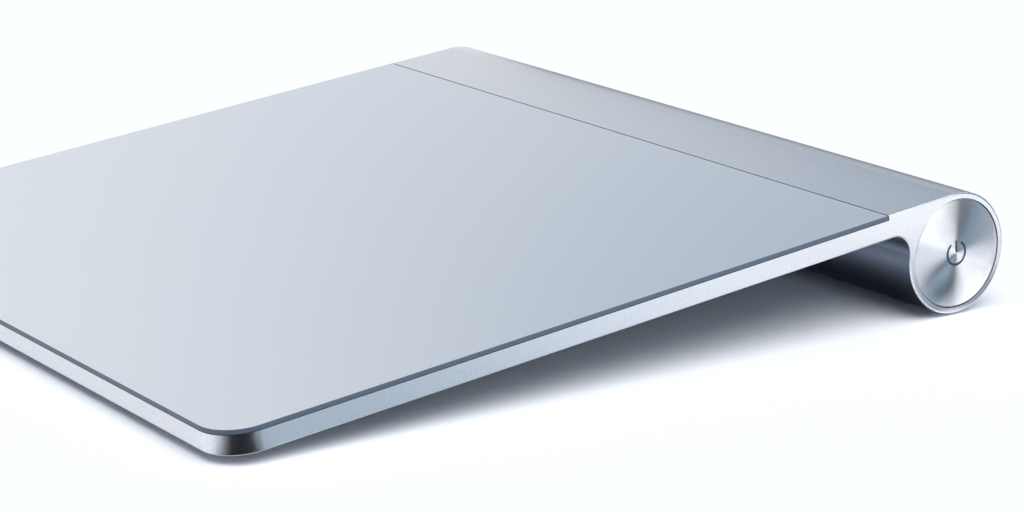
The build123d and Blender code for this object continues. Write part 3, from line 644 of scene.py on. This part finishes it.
# Camera, fitted to the edges, the end disc and the tube in the photograph. Azimuth is measured
# from the front round to the button's side.
AZIMUTH = math.radians(55.000)
ELEVATION = math.radians(15.260)
ROLL = math.radians(0.1506)
AIM = Vector((25.77, 5.37, 8.00)) * MM
DISTANCE = 438.457 * MM
SENSOR_WIDTH = 36.0
FOCAL_LENGTH = 105.70
NEAREST = 0.01

# Light and table top
KEY_PLACE = (0.50, -0.05, 1.0)
KEY_SPREAD = math.radians(60)
TABLE_REACH = 3000
SEEN_WHITE = (1.0, 1.0, 1.0)

# Tones of the reflection cards, linear: 1 is as light as the table top where it is seen
BLACK = (0.006, 0.008, 0.012)
SLATE = (0.05, 0.17, 0.32)
STEEL_BLUE = (0.21, 0.34, 0.45)
PALE_SLATE = (0.46, 0.56, 0.67)
MIST = (0.10, 0.125, 0.16)
DUSK = (0.14, 0.20, 0.28)
IRON = (0.09, 0.125, 0.165)
HOLLOW = (0.185, 0.23, 0.31)
PEARL = (0.93, 0.96, 1.00)
BRIGHT = (1.33, 1.34, 1.35)
WHITE = (1.95, 1.97, 2.00)

# The plate's front right corner seen from above, in millimetres, and the degrees that the two
# cards round it sweep
CORNER_X, CORNER_Y = 58.2, -58.8
CORNER_SWEEP = (-86.0, 16.0)
CORNER_COLUMNS = 31


def standing(start, end, foot, top):
    """Upright card between two points seen from above, from the height foot to top. Its first
    row stands at start and its first column is its foot."""
    return np.array([[(*point, z) for z in (foot, top)] for point in (start, end)], float)


def lying(left, right, front, back, height):
    """Level card between two values of x and two of y. Its first row is its front and its first
    column its left border."""
    return np.array([[(x, y, height) for x in (left, right)] for y in (front, back)], float)


def between(front_left, front_right, back_right, back_left, height):
    """Level card between four points seen from above, with rows and columns as a lying one."""
    rows = ((front_left, front_right), (back_left, back_right))
    return np.array([[(*point, height) for point in row] for row in rows], float)


def round_corner(reach, rise):
    """Card round the plate's corner: row i is an arc at the radius reach[i] and the height
    rise[i], over the degrees of CORNER_SWEEP, which count from +X towards +Y."""
    turn = np.radians(np.linspace(*CORNER_SWEEP, CORNER_COLUMNS))
    radius = np.array(reach, float)[:, None]
    height = np.array(rise, float)[:, None] + 0 * turn
    x = CORNER_X + radius * np.cos(turn)
    y = CORNER_Y + radius * np.sin(turn)
    return np.stack([x, y, height], 2)


# The reflection cards: name, points in millimetres, tone, and the shares of the card over which
# its first row, last row, first column and last column fade
CARDS = (
    ("side_softbox", standing((215, 46), (215, 192), 2, 150), WHITE, (0, 0.4, 0, 0)),
    ("rear_right_card", standing((215, 195), (160, 229), 0, 260), MIST, (0, 0.3, 0, 0)),
    ("rear_mid_card", standing((212, 200), (-150, 423), 0, 260), STEEL_BLUE, (0, 0.2, 0, 0.2)),
    ("rear_left_card", standing((-900, 232), (0, 640), 205, 850), SLATE, (0.667, 0, 0.186, 0.2)),
    ("rear_edge_card", standing((-85, 68), (64.5, 68), 1, 28.5), IRON, (0.25, 0, 0, 0.45)),
    ("rear_floor_card", between((68, 80), (84, 80), (150, 262), (60, 262), 0.3), DUSK, (0.18, 0, 0, 0.1)),
    ("corner_card", round_corner((7.2, 250), (0.35, 0.35)), BLACK, (0, 0, 0.4, 0.25)),
    ("corner_wall", round_corner((250, 250), (0, 320)), BLACK, (0, 0.2, 0.4, 0.25)),
    ("front_card", lying(-160, 58, -130, -67, 0.2), PEARL, (0.2, 0, 0.1, 0.05)),
    ("side_card", lying(65.5, 160, -66, 50, 0.2), PALE_SLATE, (0, 0.8, 0, 0.2)),
    ("face_card", lying(92, 150, 66, 135, 0.2), BRIGHT, (0.1, 0.1, 0.1, 0.1)),
    # Painted shade: tube_card is the shaded floor by the tube's foot, as reflections see it
    ("tube_card", lying(65.2, 100, 48, 80, 0.3), MIST, (0.24, 0.15, 0.08, 0.9)),
    ("ring_card", lying(67.6, 77, 52, 71, 0.35), PALE_SLATE, (0.4, 0.3, 0.35, 0.6)),
    # Painted shade: under_card is the dark floor under the plate, as reflections see it
    ("under_card", lying(-62, 64, 12, 54, 0.3), BLACK, (0.4, 0, 0, 0)),
    # Painted light and shade: hollow_card is the dim floor under the plate, as reflections in the hollow
    # see it, strongest at its right end
    ("hollow_card", lying(5, 63, 6, 50, 0.5), HOLLOW, (0.2, 0.55, 0.6, 0)),
)


def card_tone(name, tone, fades):
    """Light of one tone that turns clear towards the borders of the card's UV map."""
    m = Shader(name)
    m.owner.cycles.emission_sampling = "NONE"
    u, v, _ = m.parts(m.coordinates("UV"))
    inside = 1.0
    for along, fade in zip((u, 1 - u, v, 1 - v), fades):
        if fade:
            inside = along.step(0.0, fade) * inside
    glow = m.node("ShaderNodeEmission", inputs={"Color": colour(tone), "Strength": 1.0})
    clear = m.node("ShaderNodeBsdfTransparent")
    return m.close(m.node("ShaderNodeMixShader", inputs={0: inside, 1: clear, 2: glow}))


def card(name, points, tone, fades):
    """A card that only reflections see. Its UV map runs from 0 to 1 over its rows and columns."""
    piece = mesh_of(name, points * MM)
    rows, columns = points.shape[:2]
    u, v = np.meshgrid(np.linspace(0, 1, rows), np.linspace(0, 1, columns), indexing="ij")
    corner = np.zeros(len(piece.data.loops), int)
    piece.data.loops.foreach_get("vertex_index", corner)
    layer = piece.data.uv_layers.new(name="border")
    layer.data.foreach_set("uv", np.stack([u.ravel()[corner], v.ravel()[corner]], 1).ravel())
    piece.data.materials.append(card_tone(name + " tone", tone, fades))
    piece.visible_camera = False
    piece.visible_diffuse = False
    piece.visible_transmission = False
    piece.visible_shadow = False


def seen_directly(m):
    """1 for camera, glossy and transmission rays and 0 for the light itself."""
    rays = ("Is Camera Ray", "Is Glossy Ray", "Is Transmission Ray")
    seen, mirrored, through = m.node("ShaderNodeLightPath", out=rays)
    return seen.larger(mirrored.larger(through))


def table_finish(settings):
    """Pale matt table top, lifted to white where it is seen and keeping the object's shadow."""
    m = Shader("table top")
    grain = m.noise(m.place(), scale=0.02)
    plain = m.blend(grain, settings.floor, dimmed(settings.floor, 0.995))
    inputs = {0: plain, "Scale": settings.floor_lift}
    lifted = m.node("ShaderNodeVectorMath", {"operation": "SCALE"}, inputs)
    shade = m.blend(seen_directly(m), plain, lifted)
    return m.close(m.node("ShaderNodeBsdfDiffuse", inputs={"Color": shade}))


def room(settings):
    """World of even soft light that is white where it is seen."""
    m = Shader("studio", world=True)
    m.owner.cycles.sampling_method = "NONE"
    seen = seen_directly(m)
    shade = m.blend(seen, settings.fill_tone, SEEN_WHITE)
    strength = settings.fill + (1 - settings.fill) * seen
    even = m.node("ShaderNodeBackground", inputs={"Color": shade, "Strength": strength})
    bpy.context.scene.world = m.close(even)


def look(piece, place, aim, roll=0.0):
    """Puts a light or camera at place so that it looks at aim."""
    back = (Vector(place) - Vector(aim)).normalized()
    turn = (-back).to_track_quat("-Z", "Y").to_matrix().to_4x4()
    piece.matrix_world = Matrix.Translation(place) @ turn @ Matrix.Rotation(roll, 4, "Z")


def key_light(strength):
    """Wide soft light from above: a sun that is KEY_SPREAD across."""
    light = bpy.data.lights.new("key", "SUN")
    light.energy = strength
    light.angle = KEY_SPREAD
    piece = add_object("key", light)
    look(piece, KEY_PLACE, (0, 0, 0))
    piece.visible_camera = False


def camera():
    """Camera at the photograph's place: DISTANCE from AIM, along the line that AZIMUTH and
    ELEVATION give."""
    back = Vector((
        math.sin(AZIMUTH) * math.cos(ELEVATION),
        -math.cos(AZIMUTH) * math.cos(ELEVATION),
        math.sin(ELEVATION),
    ))
    data = bpy.data.cameras.new("camera")
    data.sensor_width = SENSOR_WIDTH
    data.lens = FOCAL_LENGTH
    data.clip_start = NEAREST
    piece = add_object("camera", data)
    look(piece, AIM + back * DISTANCE, AIM, ROLL)
    bpy.context.scene.camera = piece


class TRACKPAD_OT_stage(bpy.types.Operator):
    """Adds the table top, the soft studio light, the reflection cards and the camera"""

    bl_idname = "trackpad.stage"
    bl_label = "Stage"

    def execute(self, context):
        s = context.scene.trackpad_stage
        table = lying(-TABLE_REACH, TABLE_REACH, -TABLE_REACH, TABLE_REACH, 0)
        floor = mesh_of("table_top", table * MM)
        floor.data.materials.append(table_finish(s))
        room(s)
        key_light(s.key)
        for each in CARDS:
            card(*each)
        camera()
        context.scene.view_settings.view_transform = "Standard"
        return {"FINISHED"}


# Panel and start

STEPS = (
    TRACKPAD_OT_metal, TRACKPAD_OT_glass, TRACKPAD_OT_underside, TRACKPAD_OT_inside,
    TRACKPAD_OT_mark, TRACKPAD_OT_stage,
)


class TRACKPAD_PT_steps(bpy.types.Panel):
    """Steps and settings of the trackpad in the sidebar"""

    bl_idname = "TRACKPAD_PT_steps"
    bl_label = "Trackpad"
    bl_space_type = "VIEW_3D"
    bl_region_type = "UI"
    bl_category = "Trackpad"

    def draw(self, context):
        for step in STEPS:
            self.layout.operator(step.bl_idname)
        for group in (context.scene.trackpad_finishes, context.scene.trackpad_stage):
            for name in group.bl_rna.properties.keys():
                if name not in ("rna_type", "name"):
                    self.layout.prop(group, name)


CLASSES = (TrackpadFinishes, TrackpadStage, *STEPS, TRACKPAD_PT_steps)


def register():
    """Adds the classes and the two groups of settings to Blender."""
    for each in CLASSES:
        bpy.utils.register_class(each)
    bpy.types.Scene.trackpad_finishes = bpy.props.PointerProperty(type=TrackpadFinishes)
    bpy.types.Scene.trackpad_stage = bpy.props.PointerProperty(type=TrackpadStage)


def unregister():
    """Takes the settings and the classes out again."""
    del bpy.types.Scene.trackpad_stage
    del bpy.types.Scene.trackpad_finishes
    for each in reversed(CLASSES):
        bpy.utils.unregister_class(each)


def main():
    """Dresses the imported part."""
    register()
    bpy.ops.trackpad.metal()
    bpy.ops.trackpad.glass()
    bpy.ops.trackpad.underside()
    bpy.ops.trackpad.inside()
    bpy.ops.trackpad.mark()
    bpy.ops.trackpad.stage()


if __name__ == "__main__":
    main()
